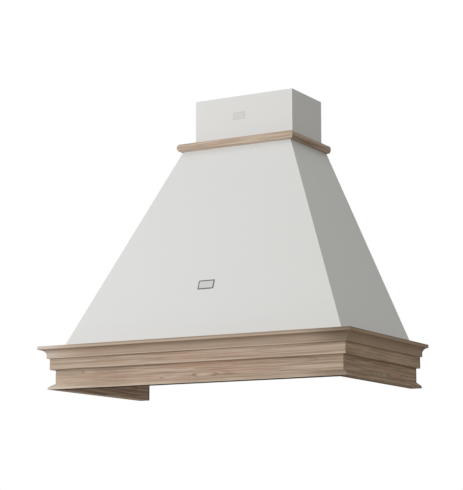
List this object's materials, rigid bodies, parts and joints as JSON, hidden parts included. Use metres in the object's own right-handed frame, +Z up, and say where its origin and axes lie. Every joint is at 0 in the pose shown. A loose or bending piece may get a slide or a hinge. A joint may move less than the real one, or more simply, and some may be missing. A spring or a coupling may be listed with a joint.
{
  "type": "range hood cover",
  "caption": "Wall-hung wooden range hood cover: tapered painted canopy under a short chimney, with a bare wood cornice at its foot and a round-nosed moulding at its top.",
  "frame": {"origin": "middle of the cover's footprint, on the plane of its rim", "axes": "+Z up, +X to the right along the wall as seen from the room, +Y into the wall; the front faces -Y"},
  "size_m": [1, 0.515, 0.88],
  "materials": {
    "oak": "bare, sanded",
    "painted_board": "matt white paint",
    "softwood": "planed, unfinished",
    "plywood": "ripped strip",
    "zinc_steel": "zinc plated"
  },
  "bodies": {
    "root": {"apron_front": "oak", "apron_left": "oak", "apron_right": "oak", "base_frame_front": "oak", "base_frame_left": "oak", "base_frame_rear": "oak", "base_frame_right": "oak", "canopy_front": "painted_board", "canopy_left": "painted_board", "canopy_right": "painted_board", "chimney_block_front_left": "softwood", "chimney_block_front_right": "softwood", "chimney_block_rear_left": "softwood", "chimney_block_rear_right": "softwood", "chimney_cleat": "softwood", "chimney_front": "painted_board", "chimney_left": "painted_board", "chimney_right": "painted_board", "corner_batten_left": "softwood", "corner_batten_right": "softwood", "corner_block_left": "softwood", "corner_block_right": "softwood", "crown_front": "oak", "crown_left": "oak", "crown_right": "oak", "fascia_front": "oak", "fascia_left": "oak", "fascia_right": "oak", "foot_batten_front": "softwood", "foot_batten_left": "softwood", "foot_batten_right": "softwood", "foot_screws": "zinc_steel", "hanging_rail": "softwood", "lower_rail": "softwood", "nosing_front": "oak", "nosing_left": "oak", "nosing_right": "oak", "skirt_front": "oak", "skirt_left": "oak", "skirt_right": "oak", "tongue_front": "plywood", "tongue_left": "plywood", "tongue_right": "plywood", "top_board": "oak", "top_rail": "softwood", "wall_batten_left": "softwood", "wall_batten_right": "softwood"}
  },
  "joints": []
}
